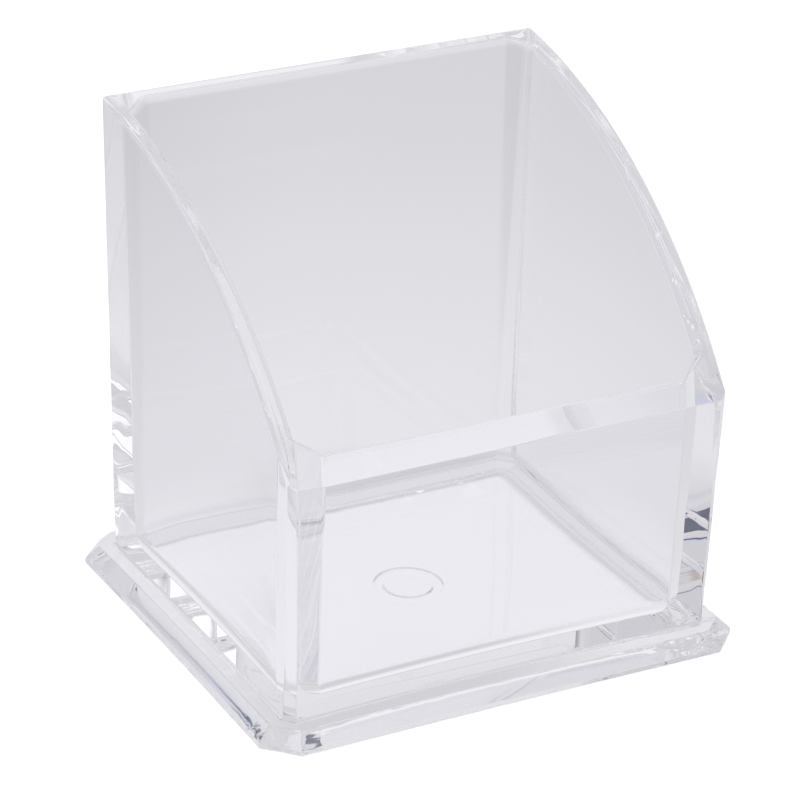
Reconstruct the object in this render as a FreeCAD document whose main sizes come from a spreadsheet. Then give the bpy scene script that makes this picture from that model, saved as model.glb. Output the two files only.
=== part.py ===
import FreeCAD, Part
import os
import re
import Sketcher

# Driving dimensions, in millimetres and degrees.
# The box stands on z = 0, its low front wall towards -Y and its tall back towards +Y.
# Walls are measured at the floor of the tub; both faces of a wall lean outwards from there.
driving = {
    "base_width": (90.0, "base plate along X, at its lower edge"),
    "base_depth": (79.5, "base plate along Y, at its lower edge"),
    "base_thick": (3.4, "full thickness of the base plate"),
    "base_lip": (1.0, "upright band round the plate's lower edge"),
    "base_bevel": (2.3, "how far the plate's bevel leans in above the band"),
    "base_corner": (5.2, "leg of the plate's cut corners"),
    "mark_outer": (6.0, "radius of the round moulding mark under the plate"),
    "mark_inner": (4.3, "radius of the island inside the mark"),
    "mark_depth": (0.3, "depth of the mark"),
    "body_width": (80.1, "tub outside along X, at its foot"),
    "body_depth": (69.4, "tub outside along Y, at its foot"),
    "body_corner": (1.8, "leg of the tub's outer corner flats, at its foot"),
    "corner_top": (0.6, "leg of the outer corner flats level with the back wall's top"),
    "outer_draft": (0.75, "lean of the tub's four outer walls"),
    "back_height": (87.0, "top of the back wall at its outer face"),
    "front_height": (45.8, "top of the front wall at its outer face"),
    "rim_radius": (102.0, "radius of the arched rim, whose axis runs along X"),
    "rim_round": (0.8, "rounding of the rim's outer edge"),
    "rim_inner": (1.4, "rounding of the rim's inner edge along the sides and the back"),
    "floor_thick": (1.5, "floor of the tub"),
    "side_wall": (4.0, "thickness of the side walls"),
    "front_wall": (3.8, "thickness of the front wall"),
    "back_wall": (5.8, "thickness of the back wall"),
    "inner_draft": (1.35, "lean of the tub's inner faces at the front and the sides"),
    "back_lean": (2.35, "lean of the inner back face and of the two flats beside it"),
    "inner_corner": (2.8, "leg of the inner corner flats, at the floor"),
    "floor_fillet": (4.0, "fillet between the floor and the walls"),
    "cement_film": (0.1, "cured cement between the plate and the tub"),
    "cement_bead": (0.7, "leg of the bead squeezed out round the tub's foot"),
    "cement_edge": (0.1, "thickness of the bead at its upper edge"),
}

doc = FreeCAD.newDocument("acrylic_storage_box")
sheet = doc.addObject("Spreadsheet::Sheet", "Dimensions")
for row, (alias, (value, meaning)) in enumerate(driving.items(), start=1):
    sheet.set(f"A{row}", meaning)
    sheet.set(f"B{row}", str(value))
    sheet.setAlias(f"B{row}", alias)
doc.recompute()


def formula(text):
    """Write a formula in aliases as an expression on the sheet."""
    return re.sub(r"[a-z]+_[a-z]+", lambda match: f"Dimensions.{match.group()}", text)


def bind(thing, field, text):
    thing.setExpression(field, formula(text))


def size(alias):
    return sheet.get(alias)


def new_sketch(body, name, plane, height="0"):
    """Make a sketch on one of the body's own planes, lifted along the plane's normal."""
    sketch = body.newObject("Sketcher::SketchObject", name)
    support = next(item for item in body.Origin.OriginFeatures if item.Role == plane)
    sketch.AttachmentSupport = (support, [""])
    sketch.MapMode = "FlatFace"
    bind(sketch, "AttachmentOffset.Base.z", height)
    return sketch


def constrain(sketch, text, *definition):
    """Add a dimension to a sketch, bound to a formula."""
    index = sketch.addConstraint(Sketcher.Constraint(*definition))
    bind(sketch, f"Constraints[{index}]", text)


def octagon(sketch, side, front, back, leg):
    """Draw a rectangle with cut corners: its reach each way from the origin, and the cut's leg."""
    reach, depth, cut = 10.0, 10.0, 1.0
    corners = [(1, -1, 1), (1, 1, 0), (-1, 1, 1), (-1, -1, 0)]
    points = []
    for x, y, upright_last in corners:
        flat = FreeCAD.Vector(x * (reach - cut), y * depth)
        upright = FreeCAD.Vector(x * reach, y * (depth - cut))
        points += [flat, upright] if upright_last else [upright, flat]
    count = len(points)
    for index in range(count):
        sketch.addGeometry(Part.LineSegment(points[index], points[(index + 1) % count]))
    for index in range(count):
        sketch.addConstraint(Sketcher.Constraint("Coincident", index, 2, (index + 1) % count, 1))
    for index, direction in ((1, "Vertical"), (3, "Horizontal"), (5, "Vertical"), (7, "Horizontal")):
        sketch.addConstraint(Sketcher.Constraint(direction, index))
    for index in (0, 2, 4, 6):
        start, end = points[index], points[(index + 1) % count]
        for axis, step in (("DistanceX", end.x - start.x), ("DistanceY", end.y - start.y)):
            first, last = (1, 2) if step > 0 else (2, 1)
            constrain(sketch, leg, axis, index, first, index, last, cut)
    constrain(sketch, side, "DistanceX", -1, 1, 1, 1, reach)
    constrain(sketch, side, "DistanceX", 5, 1, -1, 1, reach)
    constrain(sketch, front, "DistanceY", 7, 1, -1, 1, depth)
    constrain(sketch, back, "DistanceY", -1, 1, 3, 1, depth)
    return sketch


def level(text):
    """Work out a height, or any other formula, from the sheet as it stands."""
    return float(sheet.evalExpression(formula(text)))


def pad(body, name, sketch, length):
    feature = body.newObject("PartDesign::Pad", name)
    feature.Profile = sketch
    bind(feature, "Length", length)
    doc.recompute()
    return feature


def pocket_up(body, name, sketch, length):
    """Cut a sketch upwards from its own plane."""
    feature = body.newObject("PartDesign::Pocket", name)
    feature.Profile = sketch
    feature.Reversed = True
    bind(feature, "Length", length)
    doc.recompute()
    return feature


def flat_face(base, text):
    """Name the level face of a feature at a height."""
    height = level(text)
    for number, face in enumerate(base.Shape.Faces, start=1):
        if abs(face.BoundBox.ZMin - height) < 1e-6 and abs(face.BoundBox.ZMax - height) < 1e-6:
            return f"Face{number}"
    raise RuntimeError(f"{base.Label} has no level face at {height}")


def is_corner(face):
    """Tell whether a face runs across a corner, about halfway between X and Y."""
    normal = face.normalAt(0, 0)
    return min(abs(normal.x), abs(normal.y)) > 0.3


def lean(body, name, base, hinge, angle, opens=True, wanted=lambda face: True):
    """Lean the wanted upright faces of a feature about the line where each meets the hinge height."""
    upright = [
        f"Face{number}"
        for number, face in enumerate(base.Shape.Faces, start=1)
        if abs(face.normalAt(0, 0).z) < 1e-6 and wanted(face)
    ]
    feature = body.newObject("PartDesign::Draft", name)
    feature.Base = (base, upright)
    feature.NeutralPlane = (base, [flat_face(base, hinge)])
    feature.Reversed = opens
    bind(feature, "Angle", angle)
    doc.recompute()
    return feature


def fillet(body, name, base, wanted, radius):
    """Round the wanted edges of a feature."""
    edges = [
        f"Edge{number}"
        for number, edge in enumerate(base.Shape.Edges, start=1)
        if any(edge.isSame(border) for border in wanted)
    ]
    feature = body.newObject("PartDesign::Fillet", name)
    feature.Base = (base, edges)
    bind(feature, "Radius", radius)
    doc.recompute()
    return feature


# Heights of the stack, from the table upwards.
plate_top = "base_thick"
tub_foot = "base_thick + cement_film"
tub_floor = "base_thick + cement_film + floor_thick"


def lean_walls(body, name, base, opens=True):
    """Lean the four walls of the tub outwards, and the corner flats enough to narrow upwards."""
    rise = f"(back_height - ({tub_foot}))"
    corner_lean = f"atan((2 * tan(outer_draft) * {rise} + body_corner - corner_top) / (sqrt(2) * {rise}))"
    walls = lean(
        body, f"{name}_walls", base, tub_foot, "outer_draft", opens,
        wanted=lambda face: not is_corner(face),
    )
    return lean(body, f"{name}_corners", walls, tub_foot, corner_lean, opens, wanted=is_corner)


def build_base_plate():
    body = doc.addObject("PartDesign::Body", "base_plate")
    outline = ("base_width / 2", "base_depth / 2", "base_depth / 2", "base_corner")
    rise = "base_thick - base_lip"
    upper = octagon(new_sketch(body, "bevel_outline", "XY_Plane", "base_lip"), *outline)
    block = pad(body, "bevel_block", upper, rise)
    lean(body, "bevel", block, "base_lip", f"atan(base_bevel / ({rise}))", opens=False)
    lower = octagon(new_sketch(body, "plate_outline", "XY_Plane"), *outline)
    pad(body, "plate_band", lower, "base_lip")
    mark = new_sketch(body, "mark_outline", "XY_Plane")
    for ring, radius in enumerate(("mark_outer", "mark_inner")):
        mark.addGeometry(Part.Circle(FreeCAD.Vector(), FreeCAD.Vector(0, 0, 1), size(radius)))
        mark.addConstraint(Sketcher.Constraint("Coincident", ring, 3, -1, 1))
        constrain(mark, radius, "Radius", ring, size(radius))
    pocket_up(body, "moulding_mark", mark, "mark_depth")
    return body


def draw_rim(body):
    """Draw a circle through the tops of the back and front walls, and a frame to cut around it."""
    sketch = new_sketch(body, "rim_arch", "YZ_Plane")
    front_reach = f"body_depth / 2 + tan(outer_draft) * (front_height - ({tub_foot}))"
    back_reach = f"body_depth / 2 + tan(outer_draft) * (back_height - ({tub_foot}))"
    radius = size("rim_radius")
    front_top = FreeCAD.Vector(-level(front_reach), size("front_height"))
    back_top = FreeCAD.Vector(level(back_reach), size("back_height"))
    chord = back_top - front_top
    drop = (radius ** 2 - chord.Length ** 2 / 4) ** 0.5
    centre = (front_top + back_top) / 2 + FreeCAD.Vector(chord.y, -chord.x).normalize() * drop
    circle = sketch.addGeometry(Part.Circle(centre, FreeCAD.Vector(0, 0, 1), radius))
    constrain(sketch, "rim_radius", "Radius", circle, radius)
    front = sketch.addGeometry(Part.Point(front_top), True)
    back = sketch.addGeometry(Part.Point(back_top), True)
    constrain(sketch, front_reach, "DistanceX", front, 1, -1, 1, -front_top.x)
    constrain(sketch, "front_height", "DistanceY", -1, 1, front, 1, front_top.y)
    constrain(sketch, back_reach, "DistanceX", -1, 1, back, 1, back_top.x)
    constrain(sketch, "back_height", "DistanceY", -1, 1, back, 1, back_top.y)
    sketch.addConstraint(Sketcher.Constraint("PointOnObject", front, 1, circle))
    sketch.addConstraint(Sketcher.Constraint("PointOnObject", back, 1, circle))

    far = 2 * radius
    corners = [centre + FreeCAD.Vector(x * far, y * far) for x, y in ((-1, -1), (1, -1), (1, 1), (-1, 1))]
    lines = [
        sketch.addGeometry(Part.LineSegment(corners[index], corners[(index + 1) % 4]))
        for index in range(4)
    ]
    for index, line in enumerate(lines):
        following = lines[(index + 1) % 4]
        sketch.addConstraint(Sketcher.Constraint("Coincident", line, 2, following, 1))
        sketch.addConstraint(Sketcher.Constraint("Vertical" if index % 2 else "Horizontal", line))
    sketch.addConstraint(Sketcher.Constraint("Symmetric", lines[0], 1, lines[2], 1, circle, 3))
    constrain(sketch, "4 * rim_radius", "DistanceX", lines[0], 1, lines[0], 2, 2 * far)
    constrain(sketch, "4 * rim_radius", "DistanceY", lines[1], 1, lines[1], 2, 2 * far)
    return sketch


def rim_face(base):
    """Find the arched top of the walls, the widest round face whose axis runs along X."""
    cylinders = [
        face for face in base.Shape.Faces
        if isinstance(face.Surface, Part.Cylinder) and abs(face.Surface.Axis.x) > 0.99
    ]
    return max(cylinders, key=lambda face: face.Surface.Radius)


def inner_rim_edges(base):
    """Find the inner edges of the rim that reach behind the middle, which leaves out the front ones."""
    rim = rim_face(base)
    inner = [edge for edge in rim.Edges if not any(edge.isSame(outer) for outer in rim.OuterWire.Edges)]
    return [edge for edge in inner if edge.BoundBox.YMax > 0]


def build_box_body():
    body = doc.addObject("PartDesign::Body", "box_body")
    foot = new_sketch(body, "foot_outline", "XY_Plane", tub_foot)
    octagon(foot, "body_width / 2", "body_depth / 2", "body_depth / 2", "body_corner")
    block = pad(body, "block", foot, "back_height")
    lean_walls(body, "outer", block)

    inside = new_sketch(body, "floor_outline", "XY_Plane", tub_floor)
    spread = "tan(outer_draft) * floor_thick"
    octagon(
        inside,
        f"body_width / 2 + {spread} - side_wall",
        f"body_depth / 2 + {spread} - front_wall",
        f"body_depth / 2 + {spread} - back_wall",
        "inner_corner",
    )
    cavity = pocket_up(body, "cavity", inside, "back_height")
    back = lean(
        body, "inner_back", cavity, tub_floor, "back_lean", opens=False,
        wanted=lambda face: face.normalAt(0, 0).y < -0.3,
    )
    opened = lean(body, "inner_lean", back, tub_floor, "inner_draft", opens=False)
    floor_number = int(flat_face(opened, tub_floor).removeprefix("Face"))
    floor_edges = opened.Shape.Faces[floor_number - 1].OuterWire.Edges
    fillet(body, "floor_edge", opened, floor_edges, "floor_fillet")

    arch = body.newObject("PartDesign::Pocket", "arch")
    arch.Profile = draw_rim(body)
    arch.Midplane = True
    bind(arch, "Length", "2 * body_width")
    doc.recompute()
    outside = fillet(body, "rim_edge", arch, rim_face(arch).OuterWire.Edges, "rim_round")
    fillet(body, "rim_inside", outside, inner_rim_edges(outside), "rim_inner")
    return body


def build_cement_bond():
    body = doc.addObject("PartDesign::Body", "cement_bond")
    spread = "body_width / 2 + cement_bead"
    reach = "body_depth / 2 + cement_bead"
    leg = "body_corner - (2 - sqrt(2)) * cement_bead"
    bead = octagon(new_sketch(body, "bead_outline", "XY_Plane", tub_foot), spread, reach, reach, leg)
    ring = pad(body, "bead_block", bead, "cement_bead")
    slope = "atan((cement_bead - cement_edge) / cement_bead)"
    lean(body, "bead_slope", ring, tub_foot, slope, opens=False)
    foot = new_sketch(body, "tub_outline", "XY_Plane", tub_foot)
    octagon(foot, "body_width / 2", "body_depth / 2", "body_depth / 2", "body_corner")
    seat = pocket_up(body, "tub_seat", foot, "2 * cement_bead")
    lean_walls(body, "seat", seat, opens=False)
    film = octagon(new_sketch(body, "film_outline", "XY_Plane", plate_top), spread, reach, reach, leg)
    pad(body, "film", film, "cement_film")
    return body


bodies = [build_base_plate(), build_cement_bond(), build_box_body()]
doc.recompute()

for item in doc.Objects:
    faults = [state for state in item.State if state in ("Invalid", "Error")]
    if faults:
        raise RuntimeError(f"{item.Label} is {faults}")
for body in bodies:
    shape = body.Shape
    if shape.isNull() or not shape.isValid() or len(shape.Solids) != 1:
        raise RuntimeError(f"{body.Label} has no single valid solid")

os.makedirs("parts", exist_ok=True)
for body in bodies:
    body.Shape.exportStep(f"parts/{body.Label}.step")
    box = body.Shape.BoundBox
    print(f"{body.Label}: {body.Shape.Volume:.1f} mm3, z {box.ZMin:.2f} to {box.ZMax:.2f}")
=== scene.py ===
import math

import bmesh
import bpy
from mathutils import Matrix, Vector, noise


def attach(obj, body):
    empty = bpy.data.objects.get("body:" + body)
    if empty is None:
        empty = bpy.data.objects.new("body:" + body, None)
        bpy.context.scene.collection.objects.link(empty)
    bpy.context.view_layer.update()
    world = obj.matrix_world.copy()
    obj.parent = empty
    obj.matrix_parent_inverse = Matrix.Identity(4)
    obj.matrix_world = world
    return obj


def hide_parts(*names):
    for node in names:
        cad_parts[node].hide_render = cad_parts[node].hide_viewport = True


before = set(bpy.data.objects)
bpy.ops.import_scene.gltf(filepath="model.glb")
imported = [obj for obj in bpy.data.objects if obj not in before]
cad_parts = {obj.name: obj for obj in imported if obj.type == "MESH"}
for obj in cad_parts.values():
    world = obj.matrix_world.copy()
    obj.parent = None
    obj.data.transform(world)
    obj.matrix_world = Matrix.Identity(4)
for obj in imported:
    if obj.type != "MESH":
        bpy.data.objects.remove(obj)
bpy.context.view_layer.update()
print("frame loaded:", sorted(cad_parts))

mm = 0.001  # the pieces are worked out in millimetres and degrees, and their meshes are in metres

tub = {
    "width": 80.1,  # at the foot
    "depth": 69.4,
    "foot": 3.5,  # height of the underside
    "draft": 0.75,
    "corner": 1.8,  # leg of the outer corner flats at the foot
    "cornerTop": 0.6,  # and level with the top of the back wall
    "backHeight": 87.0,
    "frontHeight": 45.8,
    "rimRadius": 102.0,
    "rimRound": 0.8,
    "rimSink": 0.02,  # the rim lies this much under its arc, so that it stays inside the CAD box
    "floor": 5.0,
    "sideWall": 4.0,
    "frontWall": 3.8,
    "backWall": 5.8,
    "innerDraft": 1.35,
    "backLean": 2.35,  # of the inner back face and the two flats beside it
    "innerCorner": 2.8,
    "floorRound": 4.0,
    "edgeRound": 0.6,  # of the corner edges outside
    "crown": 0.10,  # how far the outer corner flats swell
    "innerRound": [0.4, 1.8, 1.8, 0.4, 0.9, 0.9, 0.9, 0.9],  # inside, for the corner after each side
    "rimInner": 1.4,  # rounding of the rim's inner edge, and of the same edge at the front
    "rimInnerFront": 0.3,
    "bow": {0: 0.35, 2: 0.4, 4: 0.35, 6: 0.9},  # how far each wall sinks in, halfway along its foot
    "innerBow": {0: 1.1, 2: 0.4, 4: 1.1, 6: 0.9},  # and the same inside
    "bowTop": 62.0,  # where the sinking ends
    "wave": 0.34,  # unevenness of the walls beside the corners, which fades with the height
    "waveLength": 13.0,
    "waveSqueeze": 1.6,  # how much shorter the waves are up the wall than along it
    "waveFade": 45.0,
    "waveReach": 15.0,  # how far from a corner it is felt
    "calm": 0.06,  # share of it that is left elsewhere
    "innerWave": 31.7,  # the inner walls take their waves from another part of the noise
}

plate = {
    "width": 90.0,
    "depth": 79.5,
    "thick": 3.4,
    "lip": 1.0,
    "bevel": 2.3,
    "corner": 5.2,
    "edgeRound": 0.3,
    "cornerRound": 0.4,
    "wave": 0.05,  # unevenness of the edge, and how much more there is at the two front corners
    "waveLeft": 0.25,
    "waveRight": 0.6,
    "waveLength": 3.4,
    "waveSqueeze": 2,
    "waveReach": 17.0,
    "fineWave": 0.5,  # size of the finer waves, and how many go to one large wave
    "fineWaves": 2.3,
    "bow": {0: 0.3, 2: 0.3, 4: 0.3, 6: 0.35},
    "markOuter": 6.0,
    "markInner": 4.3,
    "markDepth": 0.22,
    "markSlope": 0.9,  # width of each soft shoulder
}

bond = {
    "bead": 0.7,  # how far the bead stands out, and how high, where it is fullest
    "usual": 0.75,  # share of that where it has no lump
    "thinnest": 0.45,  # and where it is leanest
    "lumps": 0.09,  # lumps along the bead for each millimetre
    "lumpSize": 0.5,
    "lumpPlace": 7.3,  # part of the noise that the lumps are taken from
    "fineLumps": 5,  # how many fine lumps go to one large lump
    "fineSize": 0.22,
    "finePlace": 2.1,
}


# The outline of every piece is a rectangle with cut corners. Side 0 faces +X, and the
# sides follow each other anticlockwise, 45 degrees apart.
longCuts = {0: 76, 2: 50, 4: 76, 6: 110}  # how many stretches each wall has
flatCuts = 2  # and each corner flat
arcCuts = 4  # and each rounded edge between a wall and a flat
flats = (1, 3, 5, 7)
thinnestRound = 0.03
sharpAngle = 32  # an edge that turns more than this is shaded sharp


def ease(step, steps):
    # from 0 to 1, slower at both ends
    return 0.5 - 0.5 * math.cos(math.pi * step / steps)


def makeStations():
    # a station is a side, the share of the way along it and the angle that it faces;
    # on a rounded edge the share is None
    stations = []
    for side in range(8):
        cuts = longCuts.get(side, flatCuts)
        for step in range(cuts + 1):
            stations.append((side, ease(step, cuts), math.radians(45 * side)))
        for step in range(1, arcCuts):
            stations.append((side, None, math.radians(45 * (side + step / arcCuts))))
    return stations


stations = makeStations()


def outward(station):
    return Vector((math.cos(station[2]), math.sin(station[2])))


def at(point, z):
    return Vector((point.x, point.y, z))


def cutRectangle(side, front, back, frontFlat, backFlat):
    # the distance of the eight sides from the middle; the flats are given by their own distance
    return [side, backFlat, back, backFlat, side, frontFlat, front, frontFlat]


def cornerCentre(reach, side, rounding):
    # centre of the rounded edge after a side
    first, second = math.radians(45 * side), math.radians(45 * (side + 1))
    one, two = reach[side % 8] - rounding, reach[(side + 1) % 8] - rounding
    scale = 1 / math.sin(second - first)
    return Vector((
        scale * (one * math.sin(second) - two * math.sin(first)),
        scale * (two * math.cos(first) - one * math.cos(second)),
    ))


def onOutline(station, reach, roundings, bow):
    # roundings holds the radius of the corner after each side
    side, share, angle = station
    normal = outward(station)
    end = cornerCentre(reach, side, roundings[side]) + roundings[side] * normal
    if share is None:
        return end
    start = cornerCentre(reach, side - 1, roundings[side - 1]) + roundings[side - 1] * normal
    return start.lerp(end, share) - 4 * bow.get(side, 0) * share * (1 - share) * normal


def ringEdges(mesh, ring):
    return [mesh.edges.get((ring[index - 1], ring[index])) for index in range(len(ring))]


def growRing(mesh, ring, places, slot):
    # extrude a closed ring of vertices and set the new ring in place
    grown = bmesh.ops.extrude_edge_only(mesh, edges=ringEdges(mesh, ring))["geom"]
    fresh = {item for item in grown if isinstance(item, bmesh.types.BMVert)}
    for item in grown:
        if isinstance(item, bmesh.types.BMFace):
            item.material_index = slot
    following = []
    for vert, place in zip(ring, places):
        partner = next(edge.other_vert(vert) for edge in vert.link_edges if edge.other_vert(vert) in fresh)
        partner.co = place
        following.append(partner)
    return following


def startRing(mesh, places, slot):
    made = bmesh.ops.create_circle(mesh, cap_ends=True, segments=len(places), radius=1)["verts"]
    mesh.faces.ensure_lookup_table()
    mesh.faces[0].material_index = slot
    for vert, place in zip(made, places):
        vert.co = place
    return made


def closeRing(mesh, ring, slot):
    for face in bmesh.ops.edgeloop_fill(mesh, edges=ringEdges(mesh, ring))["faces"]:
        face.material_index = slot


def loft(rings, lastSlot):
    # each ring comes with the slot of the faces that lead to it; the two ends are closed
    mesh = bmesh.new()
    ring = startRing(mesh, *rings[0])
    for places, slot in rings[1:]:
        ring = growRing(mesh, ring, places, slot)
    closeRing(mesh, ring, lastSlot)
    bmesh.ops.recalc_face_normals(mesh, faces=mesh.faces)
    return mesh


def finishPiece(mesh, name, materials, node):
    bmesh.ops.scale(mesh, vec=(mm, mm, mm), verts=mesh.verts)
    data = bpy.data.meshes.new(name)
    mesh.to_mesh(data)
    mesh.free()
    data.shade_smooth()
    data.set_sharp_from_angle(angle=math.radians(sharpAngle))
    for material in materials:
        data.materials.append(material)
    piece = bpy.data.objects.new(name, data)
    bpy.context.scene.collection.objects.link(piece)
    even = piece.modifiers.new("evenNormals", "WEIGHTED_NORMAL")
    even.keep_sharp = True
    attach(piece, "root")
    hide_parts(node)
    print(f"{name}: {len(data.polygons)} faces")


# The tub's walls and rim.
wallLevels = 26
crowding = 1.6  # the rings lie closer together towards the foot
outerRimSteps = 7
innerRimSteps = 8
rimTop = (0.33, 0.67)  # where two more rings lie across the top of the rim
filletSteps = 10
rimTries = 5  # the rim is found by trying, because the walls lean and it slopes
swell = {side: -tub["crown"] for side in flats}
frontReach = tub["depth"] / 2 + math.tan(math.radians(tub["draft"])) * (tub["frontHeight"] - tub["foot"])
backReach = tub["depth"] / 2 + math.tan(math.radians(tub["draft"])) * (tub["backHeight"] - tub["foot"])


def archCentre():
    front, back = Vector((-frontReach, tub["frontHeight"])), Vector((backReach, tub["backHeight"]))
    chord = back - front
    drop = math.sqrt(tub["rimRadius"] ** 2 - chord.length_squared / 4)
    return (front + back) / 2 + Vector((chord.y, -chord.x)).normalized() * drop


arch = archCentre()


def rimHeight(y):
    return arch.y + math.sqrt(tub["rimRadius"] ** 2 - (y - arch.x) ** 2) - tub["rimSink"]


def rimSlope(y):
    return (arch.x - y) / math.sqrt(tub["rimRadius"] ** 2 - (y - arch.x) ** 2)


def bowAt(z, amounts):
    # the walls sink in most at the foot, and less and less above it
    share = max(0, 1 - (z - tub["foot"]) / (tub["bowTop"] - tub["foot"])) ** 2
    return {side: amount * share for side, amount in amounts.items()}


def nearCorner(station, reach):
    # 1 at the corners, falling to 0 at some way along each long side
    side, share, angle = station
    if share is None or side % 2:
        return 1
    length = tub["depth"] if side in (0, 4) else tub["width"]
    return max(0, 1 - min(share, 1 - share) * length / reach) ** 2


def wallWave(point, station, z, shift):
    size = tub["calm"] + (1 - tub["calm"]) * nearCorner(station, tub["waveReach"])
    fade = math.exp(-(z - tub["foot"]) / tub["waveFade"])
    place = Vector((point.x, point.y, tub["waveSqueeze"] * z)) / tub["waveLength"]
    return tub["wave"] * size * fade * noise.noise(place + Vector((0, 0, shift)))


def outerWall(station, z, inset=0):
    rise = z - tub["foot"]
    spread = math.tan(math.radians(tub["draft"])) * rise
    side, end = tub["width"] / 2 + spread, tub["depth"] / 2 + spread
    leg = tub["corner"] + (tub["cornerTop"] - tub["corner"]) * rise / (tub["backHeight"] - tub["foot"])
    flat = (side + end - leg) / math.sqrt(2)
    reach = [distance - inset for distance in cutRectangle(side, end, end, flat, flat)]
    rounding = max(tub["edgeRound"] - inset, thinnestRound)
    point = onOutline(station, reach, [rounding] * 8, {**bowAt(z, tub["bow"]), **swell})
    return point - abs(wallWave(point, station, z, 0)) * outward(station)


def innerWall(station, z, inset=0):
    # a positive inset goes into the wall, away from the cavity
    foot = math.tan(math.radians(tub["draft"])) * (tub["floor"] - tub["foot"])
    spread = math.tan(math.radians(tub["innerDraft"])) * (z - tub["floor"])
    backSpread = math.tan(math.radians(tub["backLean"])) * (z - tub["floor"])
    side = tub["width"] / 2 + foot - tub["sideWall"]
    front = tub["depth"] / 2 + foot - tub["frontWall"]
    back = tub["depth"] / 2 + foot - tub["backWall"]
    frontFlat = (side + front - tub["innerCorner"]) / math.sqrt(2) + spread
    backFlat = (side + back - tub["innerCorner"]) / math.sqrt(2) + backSpread
    outline = cutRectangle(side + spread, front + spread, back + backSpread, frontFlat, backFlat)
    reach = [distance + inset for distance in outline]
    roundings = [max(rounding + inset, thinnestRound) for rounding in tub["innerRound"]]
    point = onOutline(station, reach, roundings, bowAt(z, tub["innerBow"]))
    return point + wallWave(point, station, z, tub["innerWave"]) * outward(station)


def rimRounding(station, wall, facing, radius, turn):
    # one point of the rounding between a wall and the top of the rim; turn goes from 0 to 1
    z = tub["backHeight"]
    for attempt in range(rimTries):
        edge = wall(station, z)
        z = rimHeight(edge.y)
    slope = rimSlope(edge.y)
    steep = math.sqrt(1 + slope ** 2)
    normalX, normalY = facing * math.cos(station[2]), facing * math.sin(station[2])
    meet = math.acos(-slope * normalY / steep)
    angle = turn * meet
    drop = radius * (1 / (1 + math.cos(meet)) - math.sin(angle) / math.sin(meet))
    drop *= (1 + (slope * normalX) ** 2) / steep
    place = wall(station, z - drop, radius * (1 - math.cos(angle)))
    return at(place, z - drop)


def rimInnerRadius(station):
    # large along the sides and the back, small along the front, and in between on the front flats
    side, share, angle = station
    along = 1 if share is None else share
    towardsFront = {5: along, 6: 1, 7: 1 - along}.get(side, 0)
    return tub["rimInner"] + (tub["rimInnerFront"] - tub["rimInner"]) * towardsFront


def beadSize(station):
    # the bead round the foot is squeezed out unevenly
    foot = outerWall(station, tub["foot"])
    lump = noise.noise(Vector((foot.x, foot.y, bond["lumpPlace"])) * bond["lumps"])
    fine = noise.noise(Vector((foot.x, foot.y, bond["finePlace"])) * bond["lumps"] * bond["fineLumps"])
    share = bond["usual"] + bond["lumpSize"] * lump + bond["fineSize"] * fine
    return bond["bead"] * min(max(share, bond["thinnest"]), 1)


def beadFoot(station):
    # how far the bead reaches out over the plate
    return outerWall(station, tub["foot"], -beadSize(station))


def wallRing(wall, lows, tops, level):
    # one ring of a wall between the two heights that it has at each station
    ring = []
    for station, low, top in zip(stations, lows, tops):
        z = low + (top - low) * (level / wallLevels) ** crowding
        ring.append(at(wall(station, z), z))
    return ring


def outerRings():
    # from the foot up the outer walls and round the rim's outer edge
    foot = [at(outerWall(station, tub["foot"]), tub["foot"]) for station in stations]
    lows = [tub["foot"] + beadSize(station) for station in stations]
    tops = [rimRounding(station, outerWall, 1, tub["rimRound"], 0).z for station in stations]
    rings = [wallRing(outerWall, lows, tops, level) for level in range(wallLevels)]
    for step in range(outerRimSteps + 1):
        turn = step / outerRimSteps
        rings.append([rimRounding(station, outerWall, 1, tub["rimRound"], turn) for station in stations])
    return [foot] + rings


def innerRings():
    # round the rim's inner edge, down the inner walls and round the fillet of the floor
    rings = []
    for step in range(innerRimSteps, -1, -1):
        turn = step / innerRimSteps
        rings.append([
            rimRounding(station, innerWall, -1, rimInnerRadius(station), turn) for station in stations
        ])
    filletTop = tub["floor"] + tub["floorRound"]
    lows = [filletTop for station in stations]
    tops = [place.z for place in rings[-1]]
    rings += [wallRing(innerWall, lows, tops, level) for level in range(wallLevels - 1, -1, -1)]
    for step in range(1, filletSteps + 1):
        angle = math.pi / 2 * step / filletSteps
        z = filletTop - tub["floorRound"] * math.sin(angle)
        inset = -tub["floorRound"] * (1 - math.cos(angle))
        rings.append([at(innerWall(station, z, inset), z) for station in stations])
    return rings


def buildTub(clear, bonded):
    outer, inner = outerRings(), innerRings()
    across = []
    for share in rimTop:
        ring = [one.lerp(two, share) for one, two in zip(outer[-1], inner[0])]
        for place in ring:
            place.z = rimHeight(place.y)
        across.append(ring)
    rings = [(ring, 1) for ring in outer[:2]]  # the underside, and the foot behind the bead
    rings += [(ring, 0) for ring in outer[2:] + across + inner]
    finishPiece(loft(rings, 0), "boxTub", [clear, bonded], "box_body")


# The plate and its edge.
edgeCuts = 6  # how many stretches each face of the edge has
grooveSteps = 6
beyond = 5  # how far the first and last line of the edge's profile run on, so that they can be rounded


def plateOutline(station, inset, z=0):
    side, end = plate["width"] / 2, plate["depth"] / 2
    flat = (side + end - plate["corner"]) / math.sqrt(2)
    reach = [distance - inset for distance in cutRectangle(side, end, end, flat, flat)]
    point = onOutline(station, reach, [plate["cornerRound"]] * 8, plate["bow"])
    size = plate["wave"]
    for corner, more in ((-1, "waveLeft"), (1, "waveRight")):
        away = (point - Vector((corner * side, -end))).length
        size += plate[more] * max(0, 1 - away / plate["waveReach"])
    place = Vector((point.x, point.y, plate["waveSqueeze"] * z)) / plate["waveLength"]
    wave = noise.noise(place) + plate["fineWave"] * noise.noise(plate["fineWaves"] * place)
    return point - size * abs(wave) * outward(station)


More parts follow.
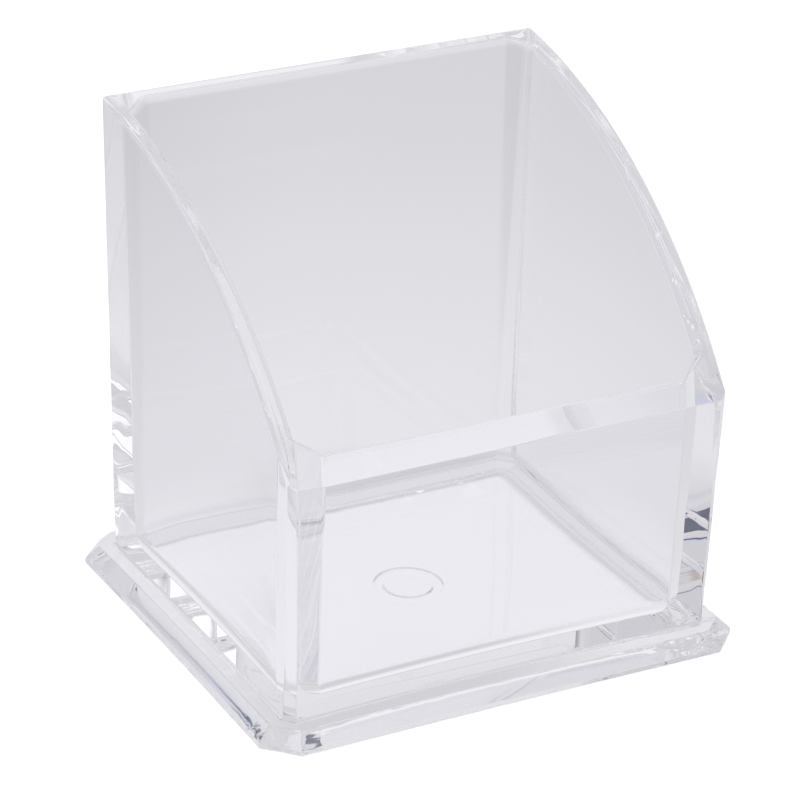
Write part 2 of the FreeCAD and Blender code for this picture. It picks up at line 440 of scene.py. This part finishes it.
def roundCorner(before, corner, after, radius, steps=5):
    # points of a small arc that rounds one corner of a profile
    toBefore, toAfter = (before - corner).normalized(), (after - corner).normalized()
    half = toBefore.angle(toAfter) / 2
    centre = corner + (toBefore + toAfter).normalized() * radius / math.sin(half)
    first = corner + toBefore * radius / math.tan(half) - centre
    last = corner + toAfter * radius / math.tan(half) - centre
    points = []
    for step in range(steps + 1):
        points.append(centre + radius * first.slerp(last, step / steps).normalized())
    return points


def markRings():
    # the round groove under the plate, from its inner shoulder to its outer one
    inner, outer, depth = plate["markInner"], plate["markOuter"], plate["markDepth"]
    slope = plate["markSlope"]
    shoulder = [(step / grooveSteps - 0.5, ease(step, grooveSteps)) for step in range(grooveSteps + 1)]
    groove = [(inner + slope * along, depth * share) for along, share in shoulder]
    groove += [(outer - slope * along, depth * share) for along, share in reversed(shoulder)]
    edge = [plateOutline(station, 0) for station in stations]
    spokes = [math.atan2(point.y, point.x) for point in edge]
    rings = []
    for radius, z in groove:
        rings.append([Vector((radius * math.cos(spoke), radius * math.sin(spoke), z)) for spoke in spokes])
    return rings


def edgeProfile():
    # how far in and how high the plate's edge lies, from the underside to the top
    thick, lip, bevel = plate["thick"], plate["lip"], plate["bevel"]
    corners = ((beyond, 0), (0, 0), (0, lip), (bevel, thick), (bevel + beyond, thick))
    corners = [Vector(pair) for pair in corners]
    profile = []
    for before, corner, after in zip(corners, corners[1:], corners[2:]):
        arc = roundCorner(before, corner, after, plate["edgeRound"])
        if profile:
            profile += [profile[-1].lerp(arc[0], step / edgeCuts) for step in range(1, edgeCuts)]
        profile += arc
    return profile


def buildPlate(clear, bonded):
    rings = markRings()
    for inset, z in edgeProfile():
        rings.append([at(plateOutline(station, inset, z), z) for station in stations])
    rings.append([at(beadFoot(station), plate["thick"]) for station in stations])
    mesh = loft([(ring, 0) for ring in rings], 1)  # the last face is under the cement
    finishPiece(mesh, "basePlate", [clear, bonded], "base_plate")


# The cement between them.
beadSteps = 6


def buildBond(clear, bonded):
    rings = [([at(beadFoot(station), plate["thick"]) for station in stations], 1)]
    for step in range(beadSteps + 1):
        angle = math.pi / 2 * step / beadSteps  # a hollow meniscus from the plate up to the wall
        ring = []
        for station in stations:
            size = beadSize(station)
            z = tub["foot"] + size * (1 - math.cos(angle))
            out = size * (1 - math.sin(angle))
            ring.append(at(outerWall(station, z, -out), z))
        rings.append((ring, 0))
    rings.append(([at(outerWall(station, tub["foot"]), tub["foot"]) for station in stations], 1))
    finishPiece(loft(rings, 1), "cementBond", [clear, bonded], "cement_bond")


class Wire:
    # a node's output with the usual operators
    def __init__(self, finish, socket):
        self.finish, self.socket = finish, socket

    def maths(self, operation, first, second):
        return self.finish.node("ShaderNodeMath", {"operation": operation}, {0: first, 1: second})

    def __add__(self, other):
        return self.maths("ADD", self, other)

    def __radd__(self, other):
        return self.maths("ADD", other, self)

    def __sub__(self, other):
        return self.maths("SUBTRACT", self, other)

    def __rsub__(self, other):
        return self.maths("SUBTRACT", other, self)

    def __mul__(self, other):
        return self.maths("MULTIPLY", self, other)

    def __rmul__(self, other):
        return self.maths("MULTIPLY", other, self)

    def __truediv__(self, other):
        return self.maths("DIVIDE", self, other)

    def __rtruediv__(self, other):
        return self.maths("DIVIDE", other, self)

    def __gt__(self, other):
        return self.maths("GREATER_THAN", self, other)

    def __lt__(self, other):
        return self.maths("LESS_THAN", self, other)

    def __abs__(self):
        return self.maths("ABSOLUTE", self, 0)


class Finish:
    # a material, or the world, and the one method that makes its nodes
    def __init__(self, owner):
        self.owner = owner
        owner.use_nodes = True
        self.tree = owner.node_tree
        self.tree.nodes.clear()

    def node(self, kind, settings=None, sockets=None, output=0):
        made = self.tree.nodes.new(kind)
        for field, value in (settings or {}).items():
            setattr(made, field, value)
        for key, value in (sockets or {}).items():
            into = self.find(made.inputs, key)
            if isinstance(value, Wire):
                self.tree.links.new(value.socket, into)
            else:
                into.default_value = value
        return Wire(self, self.find(made.outputs, output)) if made.outputs else None

    def find(self, sockets, key):
        # by number, by name, or by identifier where several sockets share a name
        if isinstance(key, int):
            return sockets[key]
        return next(socket for socket in sockets if key in (socket.identifier, socket.name))

    def show(self, shader, kind="ShaderNodeOutputMaterial"):
        self.node(kind, {}, {"Surface": shader})
        return self.owner


def blend(finish, value, reach, low, high):
    # goes smoothly from low to high as the value goes over its reach
    return finish.node("ShaderNodeMapRange", {"interpolation_type": "SMOOTHSTEP"}, {
        "Value": value, "From Min": reach[0], "From Max": reach[1], "To Min": low, "To Max": high,
    })


# The finishes, the stage and the lamps are in metres.
acrylic = {
    "index": 1.49,
    "tint": (0.965, 0.965, 0.978, 1),
    "rippleScale": 26,  # waves for each metre
    "rippleDepth": 0.001,
    "ripple": 0.12,  # share of that depth on the acrylic, and on the cement
    "cementRipple": 0.36,
    "smudge": 0.035,  # roughness where the surface has been touched
    "smudgeScale": 90,
    "smudgeReach": (0.52, 0.75),  # height of the noise where a smudge begins, and where it is full
    "uneven": [  # place, inner and outer reach and depth of the plate's two uneven front corners
        ((0.045, -0.040, 0.0), (0.008, 0.024), 1.0),
        ((-0.045, -0.040, 0.0), (0.004, 0.016), 0.5),
    ],
    "unevenScale": (170, 380, 380),  # the marks there run along the front edge
    "unevenDepth": 0.00042,
    "shade": (0.93, 0.93, 0.94, 1),  # what a wall lets through to its shadow
    "lostAfter": 16,  # after light is thrown to and fro this often, the acrylic shows a painted even glow in its place
    "paintedLostGlow": (0.69, 0.68, 0.72, 1),
}


def unevenCorners(finish, place, bump):
    # the marks that fade out round the two front corners of the plate
    along = finish.node("ShaderNodeVectorMath", {"operation": "MULTIPLY"}, {
        0: place, 1: acrylic["unevenScale"],
    })
    marks = finish.node("ShaderNodeTexNoise", {}, {
        "Vector": along, "Scale": 1.0, "Detail": 0.6, "Distortion": 0.5,
    })
    shares = []
    for corner, reach, depth in acrylic["uneven"]:
        away = finish.node("ShaderNodeVectorMath", {"operation": "DISTANCE"}, {0: place, 1: corner}, "Value")
        shares.append(blend(finish, away, reach, depth, 0.0))
    return finish.node("ShaderNodeBump", {}, {
        "Height": marks * sum(shares), "Strength": 1.0, "Distance": acrylic["unevenDepth"], "Normal": bump,
    })


def clearAcrylic(name, ripple, uneven=False):
    finish = Finish(bpy.data.materials.new(name))
    place = finish.node("ShaderNodeTexCoord", output="Object")
    wave = finish.node("ShaderNodeTexNoise", {}, {
        "Vector": place, "Scale": acrylic["rippleScale"], "Detail": 1.0,
    })
    smudge = finish.node("ShaderNodeTexNoise", {}, {
        "Vector": place, "Scale": acrylic["smudgeScale"], "Detail": 6.0, "Roughness": 0.6,
    })
    touched = blend(finish, smudge, acrylic["smudgeReach"], 0.0, acrylic["smudge"])
    bump = finish.node("ShaderNodeBump", {}, {
        "Height": wave, "Strength": ripple, "Distance": acrylic["rippleDepth"],
    })
    if uneven:
        bump = unevenCorners(finish, place, bump)
    solid = finish.node("ShaderNodeBsdfPrincipled", {}, {
        "Base Color": acrylic["tint"], "Roughness": touched, "IOR": acrylic["index"],
        "Transmission Weight": 1.0, "Normal": bump,
    })
    lost = finish.node("ShaderNodeLightPath", output="Ray Depth") > acrylic["lostAfter"]
    # a painted glow that stands in for the light of long paths
    glow = finish.node("ShaderNodeEmission", {}, {"Color": acrylic["paintedLostGlow"], "Strength": 1.0})
    guided = finish.node("ShaderNodeMixShader", {}, {0: lost, 1: solid, 2: glow})
    shade = finish.node("ShaderNodeBsdfTransparent", {}, {"Color": acrylic["shade"]})
    shadowRay = finish.node("ShaderNodeLightPath", output="Is Shadow Ray")
    finish.owner.cycles.emission_sampling = "NONE"
    return finish.show(finish.node("ShaderNodeMixShader", {}, {0: shadowRay, 1: guided, 2: shade}))


def bondedFace():
    # two faces that cement joins have no surface of their own for light
    finish = Finish(bpy.data.materials.new("bondedFace"))
    return finish.show(finish.node("ShaderNodeBsdfTransparent", {}, {"Color": (1, 1, 1, 1)}))


bonded = bondedFace()
buildTub(clearAcrylic("clearAcrylic", acrylic["ripple"]), bonded)
buildPlate(clearAcrylic("unevenAcrylic", acrylic["ripple"], True), bonded)
buildBond(clearAcrylic("curedCement", acrylic["cementRipple"]), bonded)
print("pieces built")


# Stage, light and camera.
studio = {
    "floorSize": 1.6,  # half its width
    "floorDrop": 0.0002,  # how far it lies under the plate
    "floorPaint": (0.9, 0.9, 0.9, 1),
    "floorGlow": 0.40,  # share of the camera's floor that is white in any light
    "tone": (0.975, 0.966, 1, 1),  # the cool tone of what the acrylic shows
    "acrossView": (0.875, -0.483, 0),  # to the right, as the camera sees the floor
    "underTub": (0.033, 0.028),  # half the width and depth of the painted pool of light on the floor under the tub
    "underEdge": 1.14,  # where it has faded, as a share of that
    "paintedPoolGlow": 0.95,  # how bright that painted pool of light is, as the acrylic shows it
    "wallReach": (0.048, 0.062),  # reach of the painted shade under the walls, from under them to beside the box
    "paintedWallShade": 0.68,  # painted shade under the walls: how bright the acrylic shows it in the middle and aside
    "paintedWallShadeAside": 0.86,
    "wallAside": (0.012, 0.040),
    "farReach": (0.06, 0.26),  # the painted light on the floor fades from beside the box to far from it
    "besideGlow": 0.83,
    "farGlow": 0.72,
    "sideReach": (0.02, 0.09),  # from the middle to the left and the right
    "sideLoss": 0.08,  # how much dimmer the painted light is there
    "roomGlow": 0.66,  # what the acrylic shows of the room
    "patches": [  # direction, inner and outer angle and colour of what stands round the stage
        ((0.5, 0.77, 0.3), 12, 45, (0.79, 0.78, 0.81, 1)),
        ((-0.7, 0.66, 0.3), 6, 24, (0.61, 0.61, 0.65, 1)),
        ((0.14, 0.99, 0.40), 4, 11, (0.20, 0.21, 0.26, 1)),
        ((-0.52, 0.86, -0.04), 5, 14, (0.74, 0.64, 0.60, 1)),
        ((-0.42, 0.9, 0.28), 5, 12, (0.54, 0.61, 0.82, 1)),
        ((-0.42, 0.9, 0.13), 5, 13, (0.11, 0.12, 0.17, 1)),
        ((-0.64, 0.77, 0.12), 3, 9, (0.20, 0.20, 0.26, 1)),
        ((0.80, -0.55, 0.35), 5, 14, (0.24, 0.24, 0.29, 1)),
        ((0.08, -0.90, 0.30), 4, 12, (0.30, 0.29, 0.34, 1)),
        ((0.43, -0.75, 0.45), 3, 14, (1.20, 1.19, 1.23, 1)),
        ((-0.35, -0.25, 0.75), 8, 20, (1.10, 1.09, 1.12, 1)),
    ],
    "lamps": [  # place, size and power of each soft lamp
        ((-0.35, -0.25, 0.75), 0.45, 4.25),
        ((0.5, 0.1, 0.6), 0.40, 2.55),
    ],
    "lampAim": (0, 0, 0.04),
}

view = {  # fitted to the photograph
    "focal": 3843.6,  # pixels
    "pixels": 800,  # width of the photograph
    "sensor": 36,
    "clipStart": 0.01,
    "azimuth": -28.912,
    "elevation": 26.066,
    "roll": 1.983,
    "distance": 646.64 * mm,
    "aimHeight": 45 * mm,
    "across": -2.090 * mm,  # from there to the middle of the picture
    "up": -6.150 * mm,
}


def paintedFloorLight(finish):
    # painted light and shade on the floor, as the acrylic shows it: a pool of light under the tub, shade
    # under the walls, and light that fades beside and far from the box
    place = finish.node("ShaderNodeTexCoord", output="Object")
    far = finish.node("ShaderNodeVectorMath", {"operation": "LENGTH"}, {0: place}, "Value")
    across = finish.node("ShaderNodeVectorMath", {"operation": "DOT_PRODUCT"}, {
        0: place, 1: studio["acrossView"],
    }, "Value")
    x, y = (abs(finish.node("ShaderNodeSeparateXYZ", {}, {0: place}, axis)) for axis in ("X", "Y"))
    width, depth = studio["underTub"]
    under = finish.node("ShaderNodeMath", {"operation": "MAXIMUM"}, {0: x / width, 1: y / depth})
    beside = blend(finish, far, studio["farReach"], studio["besideGlow"], studio["farGlow"])
    beside = beside - blend(finish, abs(across), studio["sideReach"], 0.0, studio["sideLoss"])
    # painted shade on the floor under the walls
    walls = blend(finish, abs(across), studio["wallAside"], studio["paintedWallShade"], studio["paintedWallShadeAside"])
    walls = walls * blend(finish, far, studio["wallReach"], 1.0, 0.0)
    beside = beside * blend(finish, far, studio["wallReach"], 0.0, 1.0)
    outside = walls + beside
    # painted pool of light on the floor under the tub
    inside = blend(finish, under, (1.0, studio["underEdge"]), 1.0, 0.0)
    return inside * studio["paintedPoolGlow"] + (1 - inside) * outside


def makeFloor():
    mesh = bmesh.new()
    bmesh.ops.create_grid(mesh, x_segments=1, y_segments=1, size=studio["floorSize"])
    bmesh.ops.translate(mesh, vec=(0, 0, -studio["floorDrop"]), verts=mesh.verts)
    data = bpy.data.meshes.new("floor")
    mesh.to_mesh(data)
    mesh.free()
    floor = bpy.data.objects.new("floor", data)
    bpy.context.scene.collection.objects.link(floor)
    finish = Finish(bpy.data.materials.new("paleFloor"))
    through = paintedFloorLight(finish)
    cameraRay = finish.node("ShaderNodeLightPath", output="Is Camera Ray")
    lit = finish.node("ShaderNodeBsdfDiffuse", {}, {"Color": studio["floorPaint"]})
    white = finish.node("ShaderNodeEmission", {}, {"Strength": 1.0})
    shown = finish.node("ShaderNodeMixShader", {}, {0: studio["floorGlow"], 1: lit, 2: white})
    # the acrylic shows the floor with painted light and shade, whatever the lamps do
    behind = finish.node("ShaderNodeEmission", {}, {"Color": studio["tone"], "Strength": through})
    either = finish.node("ShaderNodeMixShader", {}, {0: cameraRay, 1: behind, 2: shown})
    data.materials.append(finish.show(either))


def makeWorld():
    finish = Finish(bpy.data.worlds.new("studio"))
    bpy.context.scene.world = finish.owner
    direction = finish.node("ShaderNodeTexCoord", output="Generated")
    glow = [studio["roomGlow"] * channel for channel in studio["tone"][:3]] + [1]
    for towards, inner, outer, colour in studio["patches"]:
        near = finish.node("ShaderNodeVectorMath", {"operation": "DOT_PRODUCT"}, {
            0: direction, 1: Vector(towards).normalized(),
        }, "Value")
        edge = (math.cos(math.radians(outer)), math.cos(math.radians(inner)))
        glow = finish.node("ShaderNodeMix", {"data_type": "RGBA"}, {
            "Factor_Float": blend(finish, near, edge, 0.0, 1.0), "A_Color": glow, "B_Color": colour,
        }, "Result_Color")
    room = finish.node("ShaderNodeBackground", {}, {"Color": glow, "Strength": 1.0})
    seen = finish.node("ShaderNodeBackground", {}, {"Color": (1, 1, 1, 1), "Strength": 1.0})
    cameraRay = finish.node("ShaderNodeLightPath", output="Is Camera Ray")
    either = finish.node("ShaderNodeMixShader", {}, {0: cameraRay, 1: room, 2: seen})
    finish.show(either, "ShaderNodeOutputWorld")


def makeLamps():
    for index, (place, size, power) in enumerate(studio["lamps"]):
        lamp = bpy.data.lights.new(f"softLamp{index}", "AREA")
        lamp.size, lamp.energy = size, power
        holder = bpy.data.objects.new(lamp.name, lamp)
        holder.location = place
        aim = Vector(studio["lampAim"]) - Vector(place)
        holder.rotation_euler = aim.to_track_quat("-Z", "Y").to_euler()
        holder.visible_transmission = holder.visible_glossy = False
        bpy.context.scene.collection.objects.link(holder)


def makeCamera():
    azimuth, elevation, roll = (math.radians(view[key]) for key in ("azimuth", "elevation", "roll"))
    towards = Vector((
        math.sin(azimuth) * math.cos(elevation),
        -math.cos(azimuth) * math.cos(elevation),
        math.sin(elevation),
    ))
    level = (-towards).cross(Vector((0, 0, 1))).normalized()
    upright = level.cross(-towards)
    right = level * math.cos(roll) + upright * math.sin(roll)
    up = upright * math.cos(roll) - level * math.sin(roll)
    aim = Vector((0, 0, view["aimHeight"])) + right * view["across"] + up * view["up"]
    place = aim + towards * view["distance"]
    camera = bpy.data.cameras.new("camera")
    camera.sensor_width, camera.clip_start = view["sensor"], view["clipStart"]
    camera.lens = view["focal"] * view["sensor"] / view["pixels"]
    holder = bpy.data.objects.new("camera", camera)
    holder.matrix_world = Matrix.Translation(place) @ Matrix((right, up, towards)).transposed().to_4x4()
    bpy.context.scene.collection.objects.link(holder)
    bpy.context.scene.camera = holder


bounces = {  # how often light may be thrown on
    "max_bounces": 32, "transmission_bounces": 32, "glossy_bounces": 24, "transparent_max_bounces": 64,
}
makeFloor()
makeWorld()
makeLamps()
makeCamera()
scene = bpy.context.scene
scene.view_settings.view_transform = "Standard"
for limit, count in bounces.items():
    setattr(scene.cycles, limit, count)
print("stage, light and camera set")
